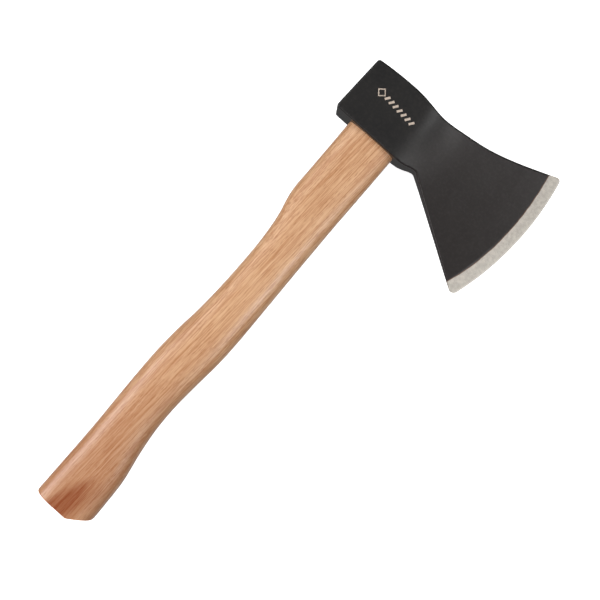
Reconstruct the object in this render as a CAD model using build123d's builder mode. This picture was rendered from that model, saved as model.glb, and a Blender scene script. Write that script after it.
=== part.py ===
"""A wooden-handled hatchet: a forged steel head hung on a curved beech handle.

Frame, in millimetres: the hatchet lies on its side. +X points from the poll to the cutting edge,
+Y runs up the handle to the top of the head, +Z is up through the thickness. The origin is on
the resting cheek, straight under the centre of the eye.
"""

import os
from math import copysign, cos, pi, radians, sin, sqrt, tan

from build123d import *

# ---------------------------------------------------------------- driving dimensions: head
cheek_thickness = 28.0  # across the eye, cheek to cheek
head_height = 42.4  # poll height, along the handle
poll_reach = 30.2  # eye centre to the striking face
edge_reach = 115.2  # eye centre to the middle of the cutting edge
edge_radius = 197.0  # sweep of the cutting edge, seen from the side
edge_centre_y = -3.5  # height of the middle of that sweep
edge_flat = 0.2  # thickness left at the very edge
bevel_width = 7.6  # ground bevel, edge to paint line
bevel_root = 3.6  # blade thickness where the bevel starts
toe_y = 43.2  # top corner of the blade, before rounding
beard_start_x = 35.6  # inner end of the straight lower side
beard_start_rise = 2.9  # above the underside
heel_y = -62.0  # lower corner of the blade, before rounding
lug_end = 19.0  # where the flat underside stops, in front of the eye
lug_curve_x = 28.5  # a point on the curve that climbs from there to the beard
lug_curve_rise = 1.5
corner_poll = 2.2  # outline roundings
corner_toe = 2.6
corner_heel = 3.6
corner_notch = 3.2
edge_break = 1.4  # rounding along the cheek outlines
poll_drop = 1.7  # fall of the top line at the poll
poll_flare = 0.8  # how much further back the poll reaches at the underside
# top line of the head from the eye to the toe: place along X and height above the crown
top_line = [(-8.0, 0.0), (8.0, -0.3), (24.0, -1.9), (40.0, 0.2), (60.0, 3.8), (80.0, 9.9)]
cheek_reach = 102.0  # how far behind the edge the flat cheek stops
# thinning of the blade in front of the flat cheek: distance and half thickness
blade_line = [(9.0, 12.9), (18.0, 9.9), (28.0, 7.2), (44.0, 5.1), (68.0, 3.4), (107.0, 1.6)]
blade_slope = 0.05  # slope of each side where that line ends

# ---------------------------------------------------------------- driving dimensions: eye
eye_length = 37.0  # at the underside, along X
eye_width = 18.6  # at the underside, along Z
eye_spread_length = 0.9  # growth of the eye from the underside to the top
eye_spread_width = 2.6
eye_fullness = 3.0  # superellipse exponent: 2 is an ellipse, more is squarer
eye_centre_x = 0.1

# ---------------------------------------------------------------- driving dimensions: handle
handle_length = 354.3
tenon_recess = 0.9  # end grain below the crown of the head
toe_cut_length = 14.2  # how much of the butt the toe cut takes off, along X
toe_cut_angle = 31.5  # slope of the toe cut, degrees
butt_break = 0.8
# four lines down the handle, evenly spaced from the head to the butt; they start from the eye
back_line = [
    eye_centre_x - eye_length / 2, -17.9, -17.5, -16.9, -12.7, -10.7, -10.1, -10.2, -11.0,
    -12.8, -13.6, -13.3, -12.6, -11.8, -11.4, -11.2, -11.0,
]
front_line = [
    eye_centre_x + eye_length / 2, 19.0, 19.3, 19.6, 20.2, 20.8, 21.5, 22.2, 22.8,
    22.6, 21.2, 20.2, 20.8, 23.4, 27.0, 28.2, 28.9,
]
thickness_line = [eye_width, 19.6, 21.0, 22.2, 23.0, 22.9, 22.6, 23.4, 25.0]
fullness_line = [eye_fullness, 2.9, 2.7, 2.5, 2.4, 2.4, 2.4, 2.7, 3.2]  # how square the oval is
handle_stations = 48  # sections the handle is drawn through

# ---------------------------------------------------------------- driving dimensions: wedges
wedge_depth = 27.0
wedge_top = 4.4  # thickness at the end grain
wedge_tip = 1.4
saw_kerf = 1.2
saw_spare = 4.0  # how much deeper the saw slot runs than the wedge
ring_diameter = 13.0
ring_wall = 2.0
ring_tip_wall = 0.5
ring_length = 17.0
ring_barbs = 3
ring_barb_pitch = 4.0
ring_barb_depth = 0.3
ring_barb_step = 0.05  # how far each barb's undercut leans
ring_proud = 0.3  # ring's rim above the end grain

# ---------------------------------------------------------------- derived levels
mid_z = cheek_thickness / 2
underside = -head_height / 2
crown = head_height / 2
tenon_top = crown - tenon_recess
butt = tenon_top - handle_length
overrun = 5.0  # cutting shapes pass the surface they cut by this much
MIDPLANE = Plane.XY.offset(mid_z)


# ---------------------------------------------------------------- shared sections
def across(x, y):
    """The plane square to the handle at height y, centred on x."""
    return Plane((x, y, mid_z), x_dir=(1, 0, 0), z_dir=(0, 1, 0))


def smooth_value(values, share):
    """Value a share of the way along evenly spaced values, on a smooth curve through them all."""
    place = share * (len(values) - 1)
    i = min(int(place), len(values) - 2)
    t = place - i
    start, end = values[i], values[i + 1]
    lean_in = (end - values[max(i - 1, 0)]) / 2
    lean_out = (values[min(i + 2, len(values) - 1)] - start) / 2
    bend = 2 * (start - end) + lean_in + lean_out
    return start + t * (lean_in + t * (end - start - lean_in - bend + t * bend))


def oval_points(half_width, half_depth, fullness, count=24):
    """Points of a superellipse: an oval that squares up as fullness grows."""
    turns = [2 * pi * i / count for i in range(count)]
    power = 2 / fullness
    return [
        (
            half_width * copysign(abs(cos(a)) ** power, cos(a)),
            half_depth * copysign(abs(sin(a)) ** power, sin(a)),
        )
        for a in turns
    ]


def oval_section(x, y, width, depth, fullness):
    """A closed oval face square to the handle."""
    with BuildSketch(across(x, y), mode=Mode.PRIVATE) as section:
        with BuildLine():
            Spline(*oval_points(width / 2, depth / 2, fullness), periodic=True)
        make_face()
    return section.sketch.face()


def eye_section(y):
    """The eye's opening at height y; it spreads evenly from the underside to the crown."""
    share = (y - underside) / head_height
    length = eye_length + eye_spread_length * share
    width = eye_width + eye_spread_width * share
    return oval_section(eye_centre_x, y, length, width, eye_fullness)


# ---------------------------------------------------------------- eye, the shape the head and the tenon share
with BuildPart() as eye:
    loft([eye_section(underside), eye_section(crown + overrun)], ruled=True)

# ---------------------------------------------------------------- head
edge_centre = Vector(edge_reach - edge_radius, edge_centre_y)
bevel_slope = (bevel_root - edge_flat) / 2 / bevel_width
cheek_end = edge_radius - cheek_reach
axle = 20.0  # inner limit of the turned profile, well behind the poll
above_cheek = mid_z + overrun


def on_edge_sweep(y):
    """The point of the cutting edge's sweep at height y."""
    return (edge_centre.X + sqrt(edge_radius**2 - (y - edge_centre.Y) ** 2), y)


toe = on_edge_sweep(toe_y)
heel = on_edge_sweep(heel_y)
poll_top = (-poll_reach, crown - poll_drop)
poll_bottom = (-poll_reach - poll_flare, underside)
beard_start = (beard_start_x, underside + beard_start_rise)
SWEEP_PLANE = Plane((edge_centre.X, edge_centre.Y, mid_z), x_dir=(1, 0, 0), z_dir=(0, -1, 0))
SWEEP_AXIS = Axis((edge_centre.X, edge_centre.Y, 0), (0, 0, 1))

with BuildPart() as head:
    # side outline, poll to edge
    with BuildSketch(MIDPLANE) as outline:
        with BuildLine():
            Spline(poll_top, *[(x, crown + rise) for x, rise in top_line], toe)
            ThreePointArc(toe, (edge_reach, edge_centre_y), heel)
            Line(heel, beard_start)
            Spline(
                beard_start, (lug_curve_x, underside + lug_curve_rise), (lug_end, underside),
                tangents=[(-1, 0.35), (-1, 0)],
            )
            Polyline((lug_end, underside), poll_bottom, poll_top)
        make_face()
        for point, rounding in [
            (poll_top, corner_poll),
            (poll_bottom, corner_poll),
            (beard_start, corner_notch),
            (heel, corner_heel),
            (toe, corner_toe),
        ]:
            fillet(outline.vertices().sort_by_distance((*point, mid_z))[0], rounding)
    extrude(amount=cheek_thickness, both=True)
    # thickness, turned about the centre of the cutting edge's sweep
    with BuildSketch(SWEEP_PLANE):
        with BuildLine():
            thinning = Spline(
                (cheek_end, mid_z), *[(cheek_end + ahead, half) for ahead, half in blade_line],
                tangents=[(1, 0), (1, -blade_slope)],
            )
            blade_end = thinning @ 1
            Polyline(blade_end, (blade_end.X, 0), (axle, 0), (axle, mid_z), (cheek_end, mid_z))
        make_face()
        mirror(about=Plane.XZ)
    revolve(axis=SWEEP_AXIS, mode=Mode.INTERSECT)
    # broken edges all round both cheeks
    cheek_ends = head.edges().filter_by(GeomType.CIRCLE).sort_by(SortBy.LENGTH)[-2:]
    upright = head.edges().filter_by(Axis.Z)
    fillet(head.edges() - upright - cheek_ends, edge_break)
    # ground bevel: a cone about the same centre, so it keeps its width along the whole edge
    with BuildSketch(SWEEP_PLANE):
        with BuildLine():
            Polyline(
                (axle, 0), (axle, above_cheek),
                (edge_radius - (above_cheek - edge_flat / 2) / bevel_slope, above_cheek),
                (edge_radius + edge_flat / 2 / bevel_slope, 0), (axle, 0),
            )
        make_face()
        mirror(about=Plane.XZ)
    revolve(axis=SWEEP_AXIS, mode=Mode.INTERSECT)
    add(eye.part, mode=Mode.SUBTRACT)

# ---------------------------------------------------------------- ring wedge
ring_top = tenon_top + ring_proud
ring_tip = ring_top - ring_length
ring_radius = ring_diameter / 2

# each barb is a sharp step in, then a ramp back out
barbs = [
    (radius, ring_top - ring_barb_pitch * (i + 0.5) - down)
    for i in range(ring_barbs)
    for radius, down in [
        (ring_radius, 0),
        (ring_radius - ring_barb_depth, ring_barb_step),
        (ring_radius, ring_barb_pitch / 2),
    ]
]

with BuildPart() as ring_wedge:
    with BuildSketch(Plane((eye_centre_x, 0, mid_z))):
        with BuildLine():
            Polyline(
                (ring_radius - ring_wall, ring_top), (ring_radius, ring_top), *barbs,
                (ring_radius, ring_tip), (ring_radius - ring_tip_wall, ring_tip),
                (ring_radius - ring_wall, ring_top),
            )
        make_face()
    revolve(axis=Axis((eye_centre_x, 0, mid_z), (0, 1, 0)))

# ---------------------------------------------------------------- kerf wedge
wedge_bottom = tenon_top - wedge_depth

with BuildPart() as kerf_wedge:
    with BuildSketch(Plane.YZ.offset(eye_centre_x)):
        with BuildLine():
            Polyline(
                (tenon_top, mid_z - wedge_top / 2), (tenon_top, mid_z + wedge_top / 2),
                (wedge_bottom, mid_z + wedge_tip / 2), (wedge_bottom, mid_z - wedge_tip / 2),
                (tenon_top, mid_z - wedge_top / 2),
            )
        make_face()
    extrude(amount=eye_length, both=True)
    add(eye.part, mode=Mode.INTERSECT)
    add(ring_wedge.part, mode=Mode.SUBTRACT)

# ---------------------------------------------------------------- handle
with BuildPart() as handle:
    # tenon, filling the eye
    add(eye.part)
    split(bisect_by=across(eye_centre_x, tenon_top), keep=Keep.BOTTOM)
    # neck, waist, grip and knob
    handle_lines = (back_line, front_line, thickness_line, fullness_line)
    stations = []
    for i in range(handle_stations + 1):
        share = i / handle_stations
        back, front, thickness, fullness = (smooth_value(line, share) for line in handle_lines)
        level = underside + share * (butt - underside)
        stations.append(oval_section((back + front) / 2, level, front - back, thickness, fullness))
    loft(stations)
    # toe cut across the front of the butt
    cut_start = front_line[-1] - toe_cut_length
    cut_end = front_line[-1] + overrun
    rise = (cut_end - cut_start) * tan(radians(toe_cut_angle))
    with BuildSketch(MIDPLANE):
        with BuildLine():
            Polyline(
                (cut_start, butt), (cut_end, butt + rise), (cut_end, butt - overrun),
                (cut_start, butt - overrun), (cut_start, butt),
            )
        make_face()
    extrude(amount=cheek_thickness, both=True, mode=Mode.SUBTRACT)
    fillet(handle.faces().sort_by(Axis.Y)[0].edges(), butt_break)
    # saw slot across the tenon, then the room the two wedges take
    with Locations((0, tenon_top, mid_z)):
        Box(2 * eye_length, 2 * (wedge_depth + saw_spare), saw_kerf, mode=Mode.SUBTRACT)
    add(kerf_wedge.part, mode=Mode.SUBTRACT)
    add(ring_wedge.part, mode=Mode.SUBTRACT)

os.makedirs("parts", exist_ok=True)
head.part.label = "head"
handle.part.label = "handle"
kerf_wedge.part.label = "kerf_wedge"
ring_wedge.part.label = "ring_wedge"
export_step(head.part, "parts/head.step")
export_step(handle.part, "parts/handle.step")
export_step(kerf_wedge.part, "parts/kerf_wedge.step")
export_step(ring_wedge.part, "parts/ring_wedge.step")
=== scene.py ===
"""Looks for the hatchet: painted and ground steel head, lacquered beech handle and its two wedges."""

from math import atan2, radians

import bpy
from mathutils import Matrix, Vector


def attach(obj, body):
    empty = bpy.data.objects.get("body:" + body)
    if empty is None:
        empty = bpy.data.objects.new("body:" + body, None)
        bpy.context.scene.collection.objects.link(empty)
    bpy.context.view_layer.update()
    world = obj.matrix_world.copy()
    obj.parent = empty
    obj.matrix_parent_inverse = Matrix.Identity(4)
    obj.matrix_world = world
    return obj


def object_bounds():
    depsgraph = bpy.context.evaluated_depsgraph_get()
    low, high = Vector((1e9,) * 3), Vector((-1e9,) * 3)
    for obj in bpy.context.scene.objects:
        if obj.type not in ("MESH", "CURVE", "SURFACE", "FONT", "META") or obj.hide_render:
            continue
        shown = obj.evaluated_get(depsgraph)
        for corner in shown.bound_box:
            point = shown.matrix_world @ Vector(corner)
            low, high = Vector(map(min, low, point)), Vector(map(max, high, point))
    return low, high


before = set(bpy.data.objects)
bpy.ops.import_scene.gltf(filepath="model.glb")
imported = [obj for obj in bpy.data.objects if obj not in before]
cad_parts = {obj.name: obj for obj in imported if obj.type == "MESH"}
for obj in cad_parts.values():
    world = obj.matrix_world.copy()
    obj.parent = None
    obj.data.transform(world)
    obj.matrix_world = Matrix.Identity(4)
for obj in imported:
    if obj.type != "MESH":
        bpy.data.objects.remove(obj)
cad_low, cad_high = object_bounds()

MM = 0.001

# ---------------------------------------------------------------- sizes shared with the model
cheek_thickness = cad_high[2]
mid_z = cheek_thickness / 2
butt_y = cad_low[1]
edge_centre = Vector((-81.8, -3.5, 14.0)) * MM  # centre of the cutting edge's sweep
edge_radius = 197.0 * MM
bevel_width = 7.6 * MM
bevel_start = edge_radius - bevel_width


# ---------------------------------------------------------------- writing a finish
def colour(red, green, blue):
    """A paint-shop colour, 0 to 255 a channel, as the linear colour a shader takes."""
    return (*(((c / 255 + 0.055) / 1.055) ** 2.4 for c in (red, green, blue)), 1.0)


class Link:
    """One socket of a finish; arithmetic on it adds the Math nodes."""

    def __init__(self, finish, socket):
        self.finish, self.socket = finish, socket

    def math(self, operation, *values):
        sockets = dict(enumerate(values))
        return self.finish.add("ShaderNodeMath", {"operation": operation}, sockets)

    def __add__(self, other):
        return self.math("ADD", self, other)

    def __radd__(self, other):
        return self.math("ADD", other, self)

    def __sub__(self, other):
        return self.math("SUBTRACT", self, other)

    def __rsub__(self, other):
        return self.math("SUBTRACT", other, self)

    def __mul__(self, other):
        return self.math("MULTIPLY", self, other)

    def __truediv__(self, other):
        return self.math("DIVIDE", self, other)

    def __pow__(self, other):
        return self.math("POWER", self, other)

    def __abs__(self):
        return self.math("ABSOLUTE", self)


class Shop:
    """A node tree that is being written."""

    def __init__(self, tree):
        self.nodes, self.links = tree.nodes, tree.links

    def add(self, kind, settings, sockets, out=0):
        """A node of one kind: its settings first, then the values or links of its sockets."""
        node = self.nodes.new(kind)
        for name, value in settings.items():
            setattr(node, name, value)
        for name, value in sockets.items():
            self.feed(node.inputs[name], value)
        return Link(self, node.outputs[out])

    def feed(self, socket, value):
        if isinstance(value, Link):
            self.links.new(value.socket, socket)
        else:
            socket.default_value = value

    def axes(self, vector):
        """The x, y and z of a vector link."""
        return [self.add("ShaderNodeSeparateXYZ", {}, {0: vector}, axis) for axis in "XYZ"]

    def point(self, x, y, z):
        return self.add("ShaderNodeCombineXYZ", {}, {0: x, 1: y, 2: z})

    def step(self, value, low, high, start=0.0, end=1.0):
        """Eases from start at low to end at high; high may be the smaller one."""
        settings = {"interpolation_type": "SMOOTHSTEP"}
        sockets = {"Value": value, "From Min": low, "From Max": high, "To Min": start, "To Max": end}
        return self.add("ShaderNodeMapRange", settings, sockets)

    def noise(self, point, scale, detail=2.0, roughness=0.5):
        sockets = {"Vector": point, "Scale": scale, "Detail": detail, "Roughness": roughness}
        return self.add("ShaderNodeTexNoise", {}, sockets)

    def cells(self, point, scale):
        """The distance to the nearest of many scattered points."""
        return self.add("ShaderNodeTexVoronoi", {}, {"Vector": point, "Scale": scale})

    def mix(self, share, first, second):
        """Two colours mixed, all of the second at share 1; sockets 6 and 7 are the colour ones."""
        return self.add("ShaderNodeMix", {"data_type": "RGBA"}, {0: share, 6: first, 7: second}, 2)

    def relief(self, height, depth, under=None):
        """Surface relief; height runs from 0 to 1 and depth is in metres."""
        sockets = {"Height": height, "Distance": depth, "Strength": 1.0}
        if under is not None:
            sockets["Normal"] = under
        return self.add("ShaderNodeBump", {}, sockets)


class Finish(Shop):
    """One material, with its Principled shader's steady values set on the shader's own sockets."""

    fed = {
        "base_color": "Base Color",
        "roughness": "Roughness",
        "metallic": "Metallic",
        "coat": "Coat Weight",
        "normal": "Normal",
    }

    def __init__(self, name, steady):
        self.material = bpy.data.materials.new(name)
        self.material.use_nodes = True
        super().__init__(self.material.node_tree)
        self.shader = self.nodes["Principled BSDF"]
        for socket, value in steady.items():
            self.shader.inputs[socket].default_value = value

    def give(self, **varying):
        """Feeds what changes over the surface into the shader."""
        for name, value in varying.items():
            self.feed(self.shader.inputs[self.fed[name]], value)
        return self.material

    def coordinates(self):
        """The place on the piece: x, y and z in metres."""
        return self.axes(self.add("ShaderNodeTexCoord", {}, {}, "Object"))

    def facing(self):
        """The way the surface faces on the piece, as x, y and z."""
        return self.axes(self.add("ShaderNodeTexCoord", {}, {}, "Normal"))


# ---------------------------------------------------------------- finishes
def painted_forging():
    """Black satin paint over forged steel, ground bare along the cutting edge."""
    paint_setback, heel_setback = 0.9 * MM, 0.9 * MM
    paint_waver, paint_feather = 0.9 * MM, 0.08 * MM
    scorch_start, scorch_end = -0.75 * MM, -0.1 * MM
    heel_start, heel_end = -38 * MM, -60 * MM
    brown_start, brown_end = 12 * MM, 40 * MM
    lip_start, lip_end = 6.0 * MM, 7.4 * MM
    lines_across, lines_along = 2600.0, 260.0  # how closely the grinding lines lie
    f = Finish("black_paint_ground_edge", {"Specular IOR Level": 0.36})
    x, y, z = f.coordinates()
    place = f.point(x, y, z)
    across = x - edge_centre.x
    along = y - edge_centre.y
    reach = (across * across + along * along) ** 0.5
    wander = f.noise(place, 160.0, 3.0) - 0.5
    # the paint stops in a slightly uneven line, and further back at the heel
    heel = f.step(y, heel_start, heel_end)
    past_bevel = reach - bevel_start
    line = past_bevel + paint_setback + wander * paint_waver + heel * heel_setback
    ground = f.step(line, -paint_feather, paint_feather)
    scorch = f.step(line, scorch_start, scorch_end) * (1 - ground)

    cloud = f.noise(place, 34.0, 4.0, 0.6)
    speck = f.noise(place, 620.0, 3.0, 0.6)
    grit = f.noise(place, 2600.0)
    black = f.mix(f.step(cloud, 0.3, 0.75), colour(18, 17, 17), colour(25, 23, 22))
    black = f.mix(f.step(x, brown_start, brown_end) * 0.7, black, colour(23, 14, 12))
    black = f.mix(f.step(speck, 0.4, 0.8) * 0.35, black, colour(44, 40, 38))
    black = f.mix(scorch * 0.8, black, colour(112, 76, 58))

    # grinding lines cross the bevel towards the edge's centre
    turn = f.add("ShaderNodeMath", {"operation": "ARCTAN2"}, {0: along, 1: across})
    grinding = f.point(turn * lines_across, reach * lines_along, z * lines_along)
    lines = f.noise(grinding, 1.0, 3.0, 0.6)
    smear = f.noise(place, 420.0, 3.0, 0.6)
    bright = f.mix(f.step(smear, 0.3, 0.7), colour(166, 161, 153), colour(186, 180, 171))
    bright = f.mix(f.step(lines, 0.42, 0.7) * 0.45, bright, colour(136, 130, 122))
    lip = f.step(past_bevel, lip_start, lip_end)
    bright = f.mix(lip * 0.5, bright, colour(214, 211, 206))

    matte = 0.26 + cloud * 0.11 + speck * 0.1
    satin = 0.46 + lines * 0.14
    rough = matte + ground * (satin - matte)
    forging = f.relief(f.noise(place, 75.0), 0.14 * MM)
    peel = f.relief(speck * 0.4 + grit * 0.6, 0.009 * MM, forging)
    scratched = f.relief(lines * ground, 0.02 * MM, peel)
    surface = f.mix(ground, black, bright)
    return f.give(base_color=surface, roughness=rough, metallic=ground * 0.5, normal=scratched)


def beech():
    """Lacquered beech, its straight grain running out through the sides of the curved handle."""
    lean_x, lean_z = 0.035, 0.02
    pith_u, pith_w = -62 * MM, -40 * MM  # the middle of the tree, outside the handle
    year_width = 3.4 * MM
    sway_width = 1.6 * MM
    grip_start, grip_end = -150 * MM, -330 * MM
    stain_width, stain_length, stain_depth = 8.5 * MM, 27 * MM, 13 * MM
    stain_x, stain_y, stain_z = 8.0 * MM, butt_y + 3 * MM, 26 * MM
    f = Finish("lacquered_beech", {"Coat Roughness": 0.33, "Specular IOR Level": 0.15})
    x, y, z = f.coordinates()
    _, facing_y, _ = f.facing()
    # straight grain, a little out of line with the handle
    u = x - y * lean_x
    w = z - mid_z + y * lean_z

    def stretched(across, along):
        """The place in the wood, counted closely across the grain and loosely along it."""
        return f.point(u * across, y * along, w * across)

    sway = f.noise(stretched(30.0, 9.0), 1.0) - 0.5
    u = u + sway * sway_width

    across_u, across_w = u - pith_u, w - pith_w
    radius = (across_u * across_u + across_w * across_w) ** 0.5
    wobble = f.noise(stretched(60.0, 3.0), 1.0)
    turns = radius / year_width + wobble * 1.6
    years = turns.math("FRACT", turns)
    late = f.step(years, 0.55, 0.95) * (1 - f.step(years, 0.95, 1.0))

    bands = f.noise(stretched(240.0, 7.0), 1.0, 3.0, 0.6)
    fibre = f.noise(stretched(1500.0, 44.0), 1.0, 3.0, 0.7)
    streaks = f.noise(stretched(720.0, 13.0), 1.0, 3.0, 0.6)
    cloud = f.noise(stretched(30.0, 11.0), 1.0)

    # short dark flecks, where the rays come to the surface, gathered in patches
    fleck = 1 - f.step(f.cells(stretched(1250.0, 170.0), 1.0), 0.1, 0.36)
    gather = f.step(f.noise(stretched(190.0, 22.0), 1.0, 3.0, 0.6), 0.36, 0.6)
    flecks = fleck * (0.4 + gather * 0.6)

    wood = f.mix(f.step(bands, 0.25, 0.75), colour(212, 170, 133), colour(199, 153, 113))
    wood = f.mix(f.step(cloud, 0.35, 0.75) * 0.4, wood, colour(194, 148, 107))
    wood = f.mix(late * 0.2, wood, colour(172, 118, 76))
    wood = f.mix(f.step(streaks, 0.5, 0.6) * 0.55, wood, colour(172, 115, 72))
    wood = f.mix(f.step(fibre, 0.5, 0.59) * 0.62, wood, colour(164, 108, 66))
    wood = f.mix(f.step(fibre, 0.44, 0.34) * 0.5, wood, colour(221, 183, 146))
    wood = f.mix(flecks * 0.62, wood, colour(148, 90, 51))
    # the grip darker and redder towards the butt
    wood = f.mix(f.step(y, grip_start, grip_end) * 0.5, wood, colour(146, 86, 50))

    # end grain: pores and fine rays, and it drinks more lacquer
    end = f.step(abs(facing_y), 0.5, 0.72)
    pores = 1 - f.step(f.cells(f.point(u, y * 0.2, w), 3200.0), 0.2, 0.45)
    rays = f.noise(f.point(u * 2400.0, y * 10.0, w * 160.0), 1.0)
    cut = f.mix(late * 0.6, colour(186, 138, 95), colour(142, 95, 58))
    cut = f.mix(pores * 0.5, cut, colour(112, 72, 44))
    cut = f.mix(f.step(rays, 0.52, 0.75) * 0.4, cut, colour(206, 164, 120))
    wood = f.mix(end, wood, cut)

    # a darker, ragged heart stain at the butt, near one face, narrowing towards the head
    rise = y - stain_y
    off_x = (x - stain_x - rise * 0.22) / stain_width
    off_y = rise.math("MAXIMUM", rise, 0.0) / stain_length
    off_z = (z - stain_z) / stain_depth
    spread = off_x * off_x + off_y * off_y + off_z * off_z
    ragged = spread + (bands - 0.5) * 2.4 + (streaks - 0.5) * 3.0
    stain = 1 - f.step(ragged, 0.0, 1.7)
    stain_strength = 0.74 + f.step(fibre, 0.42, 0.6) * 0.24
    wood = f.mix(stain * stain_strength, wood, colour(128, 60, 25))

    rough = 0.46 + flecks * 0.08 + fibre * 0.08 + end * 0.18
    coat = 0.9 - end * 0.75 - flecks * 0.15 - stain * (1 - end) * 0.7
    swell = f.relief(bands, 0.05 * MM)
    open_grain = f.relief(1 - flecks * 0.8 - pores * end * 0.8 - fibre * 0.25, 0.03 * MM, swell)
    return f.give(base_color=wood, roughness=rough, coat=coat, normal=open_grain)


def wedge_hardwood():
    """The dry hardwood of the long wedge, seen mostly as end grain."""
    f = Finish("wedge_hardwood", {"Specular IOR Level": 0.3})
    x, y, z = f.coordinates()
    fibre = f.noise(f.point(x * 1500.0, y * 90.0, z * 900.0), 1.0, 3.0, 0.6)
    pores = 1 - f.step(f.cells(f.point(x, y * 0.15, z), 2600.0), 0.18, 0.42)
    tone = f.noise(f.point(x * 120.0, y * 30.0, z * 300.0), 1.0)
    wood = f.mix(f.step(tone, 0.3, 0.7), colour(150, 104, 66), colour(122, 80, 49))
    wood = f.mix(f.step(fibre, 0.45, 0.8) * 0.4, wood, colour(96, 61, 38))
    wood = f.mix(pores * 0.5, wood, colour(78, 48, 30))
    open_grain = f.relief(fibre - pores * 0.5, 0.05 * MM)
    return f.give(base_color=wood, roughness=0.62 + fibre * 0.2, normal=open_grain)


def turned_steel():
    """The steel of the ring wedge, with turning marks and a little rust in the barbs."""
    f = Finish("turned_steel", {})
    x, y, z = f.coordinates()
    place = f.point(x, y, z)
    marks = f.noise(f.point(x * 60.0, y * 9000.0, z * 60.0), 1.0)
    spots = f.noise(place, 900.0, 3.0, 0.6)
    rust = f.step(spots, 0.58, 0.72)
    steel = f.mix(f.step(marks, 0.3, 0.7), colour(176, 174, 170), colour(214, 212, 208))
    steel = f.mix(rust * 0.5, steel, colour(130, 92, 66))
    rough = 0.3 + marks * 0.15 + rust * 0.3
    turned = f.relief(marks, 0.02 * MM)
    return f.give(base_color=steel, roughness=rough, metallic=1 - rust * 0.6, normal=turned)


def printed_mark():
    """Thin pale print over the paint, a little worn."""
    f = Finish("printed_mark", {"Specular IOR Level": 0.4})
    x, y, z = f.coordinates()
    wear = f.noise(f.point(x, y, z), 700.0, 3.0, 0.6)
    ink = f.mix(f.step(wear, 0.45, 0.7) * 0.5, colour(186, 170, 156), colour(128, 118, 108))
    return f.give(base_color=ink, roughness=0.45 + wear * 0.2, normal=f.relief(wear, 0.01 * MM))


def pale_floor():
    """The plain pale paint of the studio's floor and walls, with a glow of its own."""
    f = Finish("pale_floor", {"Roughness": 0.75, "Specular IOR Level": 0.1, "Emission Strength": 0.8})
    f.shader.inputs["Emission Color"].default_value = (1.0, 1.0, 1.0, 1.0)
    x, y, z = f.coordinates()
    grain = f.noise(f.point(x, y, z), 40.0)
    return f.give(base_color=f.mix(grain, colour(246, 246, 246), colour(250, 250, 250)))


finishes = {
    "head": painted_forging(),
    "handle": beech(),
    "kerf_wedge": wedge_hardwood(),
    "ring_wedge": turned_steel(),
}
for node, finish in finishes.items():
    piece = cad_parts[node]
    piece.data.materials.clear()
    piece.data.materials.append(finish)


# ---------------------------------------------------------------- the plain mark on the cheek
film = 0.05 * MM
film_sunk = 0.1 * film  # how far the film's middle lies under the paint


def mark_tree():
    """A square ring followed by a row of slanted bars, printed on the cheek in a thin film."""
    tree = bpy.data.node_groups.new("cheek_mark_row", "GeometryNodeTree")
    numbers = {
        "Pitch": 3.7 * MM,
        "Bar Width": 1.5 * MM,
        "Bar Height": 3.8 * MM,
        "Film": film,
        "Slant": radians(-30),
        "Ring Size": 4.2 * MM,
        "Ring Width": 1.0 * MM,
    }
    sockets = {"Bars": ("NodeSocketInt", 7)}
    sockets.update({name: ("NodeSocketFloat", value) for name, value in numbers.items()})
    for name, (kind, value) in sockets.items():
        tree.interface.new_socket(name, in_out="INPUT", socket_type=kind).default_value = value
    for name in ("Place", "Turn"):
        tree.interface.new_socket(name, in_out="INPUT", socket_type="NodeSocketVector")
    tree.interface.new_socket("Finish", in_out="INPUT", socket_type="NodeSocketMaterial")
    tree.interface.new_socket("Geometry", in_out="OUTPUT", socket_type="NodeSocketGeometry")
    g = Shop(tree)
    given = g.nodes.new("NodeGroupInput")
    size = {socket.name: Link(g, socket) for socket in given.outputs if socket.name}

    bar_size = g.point(size["Bar Width"], size["Bar Height"], size["Film"])
    bar = g.add("GeometryNodeMeshCube", {}, {"Size": bar_size})
    first = g.point(size["Ring Size"] * 1.25, 0.0, 0.0)
    spacing = {"Count": size["Bars"], "Start Location": first, "Offset": g.point(size["Pitch"], 0.0, 0.0)}
    row = g.add("GeometryNodeMeshLine", {}, spacing)
    lean = g.point(0.0, 0.0, size["Slant"])
    bars = g.add("GeometryNodeInstanceOnPoints", {}, {"Points": row, "Instance": bar, "Rotation": lean})

    def rectangle(width, height):
        sides = {"Width": width, "Height": height}
        return g.add("GeometryNodeCurvePrimitiveQuadrilateral", {"mode": "RECTANGLE"}, sides)

    path = rectangle(size["Ring Size"], size["Ring Size"])
    strip = rectangle(size["Ring Width"], size["Film"])
    ring = g.add("GeometryNodeCurveToMesh", {}, {"Curve": path, "Profile Curve": strip})
    on_its_corner = g.point(0.0, 0.0, radians(45))
    ring = g.add("GeometryNodeTransform", {}, {"Geometry": ring, "Rotation": on_its_corner})

    joined = g.nodes.new("GeometryNodeJoinGeometry")
    for part in (ring, bars):
        g.links.new(part.socket, joined.inputs[0])
    both = Link(g, joined.outputs[0])
    seat = {"Geometry": both, "Translation": size["Place"], "Rotation": size["Turn"]}
    placed = g.add("GeometryNodeTransform", {}, seat)
    real = g.add("GeometryNodeRealizeInstances", {}, {"Geometry": placed})
    done = g.add("GeometryNodeSetMaterial", {}, {"Geometry": real, "Material": size["Finish"]})
    g.links.new(done.socket, g.nodes.new("NodeGroupOutput").inputs[0])
    return tree


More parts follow.
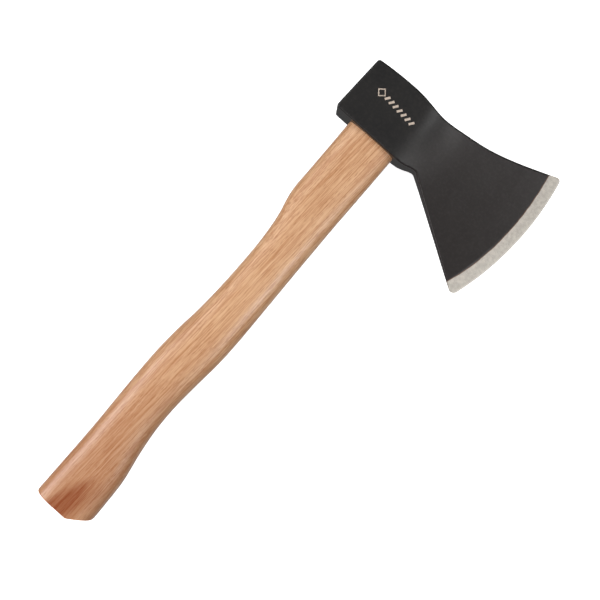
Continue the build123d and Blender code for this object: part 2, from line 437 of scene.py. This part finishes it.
def grown(name, tree, **inputs):
    """The plain mesh that a tree makes, as an object at the origin."""
    blank = bpy.data.objects.new(name + "_blank", bpy.data.meshes.new(name + "_blank"))
    bpy.context.scene.collection.objects.link(blank)
    modifier = blank.modifiers.new(name, "NODES")
    modifier.node_group = tree
    for item in tree.interface.items_tree:
        key = item.name.lower().replace(" ", "_")
        if item.in_out == "INPUT" and key in inputs:
            modifier[item.identifier] = inputs[key]
    depsgraph = bpy.context.evaluated_depsgraph_get()
    mesh = bpy.data.meshes.new_from_object(blank.evaluated_get(depsgraph))
    blank.modifiers.remove(modifier)
    bpy.data.objects.remove(blank)
    piece = bpy.data.objects.new(name, mesh)
    bpy.context.scene.collection.objects.link(piece)
    return piece


mark_place = (-14.5 * MM, 4.4 * MM, cheek_thickness - film_sunk)
mark_turn = (0.0, 0.0, radians(-5))
mark = grown("cheek_mark", mark_tree(), place=mark_place, turn=mark_turn, finish=printed_mark())
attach(mark, "root")


# ---------------------------------------------------------------- studio
def studio_piece(name, points, faces, finish):
    """A surface of the room, hidden from the light that falls on the hatchet, as if it stood well away."""
    mesh = bpy.data.meshes.new(name)
    mesh.from_pydata(points, [], faces)
    mesh.materials.append(finish)
    piece = bpy.data.objects.new(name, mesh)
    bpy.context.scene.collection.objects.link(piece)
    piece.visible_diffuse = False
    piece.visible_glossy = False
    return piece


half_side, wall_height = 6.0, 3.0
corners = [(-half_side, -half_side), (half_side, -half_side), (half_side, half_side), (-half_side, half_side)]
foot = [(x, y, 0.0) for x, y in corners]
top = [(x, y, wall_height) for x, y in corners]
wall_faces = [(i, (i + 1) % 4, (i + 1) % 4 + 4, i + 4) for i in range(4)]
room_finish = pale_floor()
studio_piece("studio_floor", foot, [(0, 1, 2, 3)], room_finish)
wall = studio_piece("studio_wall", foot + top, wall_faces, room_finish)
wall.visible_shadow = False

# a bright ceiling over darker walls, and a little light from below
world = bpy.data.worlds.new("studio_air")
world.use_nodes = True
air = Shop(world.node_tree)
_, _, height = air.axes(air.add("ShaderNodeTexCoord", {}, {}, "Generated"))
air.feed(air.nodes["Background"].inputs["Color"], (1.0, 1.0, 1.0, 1.0))
from_above = air.step(height, -0.05, 0.95, 0.1, 0.44)
# light from below, but little from straight under the hatchet
from_below = air.step(height, -0.15, -0.6, 0.0, 0.42) * air.step(height, -0.995, -0.8, 0.08, 1.0)
strength = from_above + from_below
air.feed(air.nodes["Background"].inputs["Strength"], strength)
bpy.context.scene.world = world
bpy.context.scene.view_settings.view_transform = "Standard"

# the camera looks straight down on the hatchet as it lies, turned so the handle runs up to the right
view_turn = atan2(0.665, 0.747)
view_height = 597 * MM
view_centre = Vector((34.5, -129.3, 14.0)) * MM
camera_data = bpy.data.cameras.new("studio_camera")
camera_data.sensor_width = 36.0
camera_data.lens = 54.85
camera = bpy.data.objects.new("studio_camera", camera_data)
camera.location = view_centre + Vector((0, 0, view_height))
camera.rotation_euler = (0, 0, view_turn)
bpy.context.scene.collection.objects.link(camera)
bpy.context.scene.camera = camera


def softbox(name, place, width, depth, power):
    """A soft lamp aimed at the middle of the hatchet."""
    data = bpy.data.lights.new(name, "AREA")
    data.shape, data.size, data.size_y, data.energy = "RECTANGLE", width, depth, power
    lamp = bpy.data.objects.new(name, data)
    lamp.location = place
    lamp.rotation_euler = (view_centre - lamp.location).to_track_quat("-Z", "Y").to_euler()
    bpy.context.scene.collection.objects.link(lamp)


# each lamp's place, width, depth and power: two along the edge side, a large one behind the grip,
# a small one past the poll and a low one past the butt
softbox("softbox_edge", (0.84, -0.12, 0.9), 0.26, 0.5, 4.4)
softbox("softbox_cheek", (0.44, 0.5, 0.88), 0.28, 0.32, 2.3)
softbox("softbox_back", (-0.78, -0.78, 0.7), 1.0, 0.66, 12.5)
softbox("softbox_poll", (-0.6, 0.15, 0.7), 0.4, 0.5, 1.2)
softbox("softbox_butt", (0.1, -1.1, 0.6), 0.8, 0.3, 1.5)
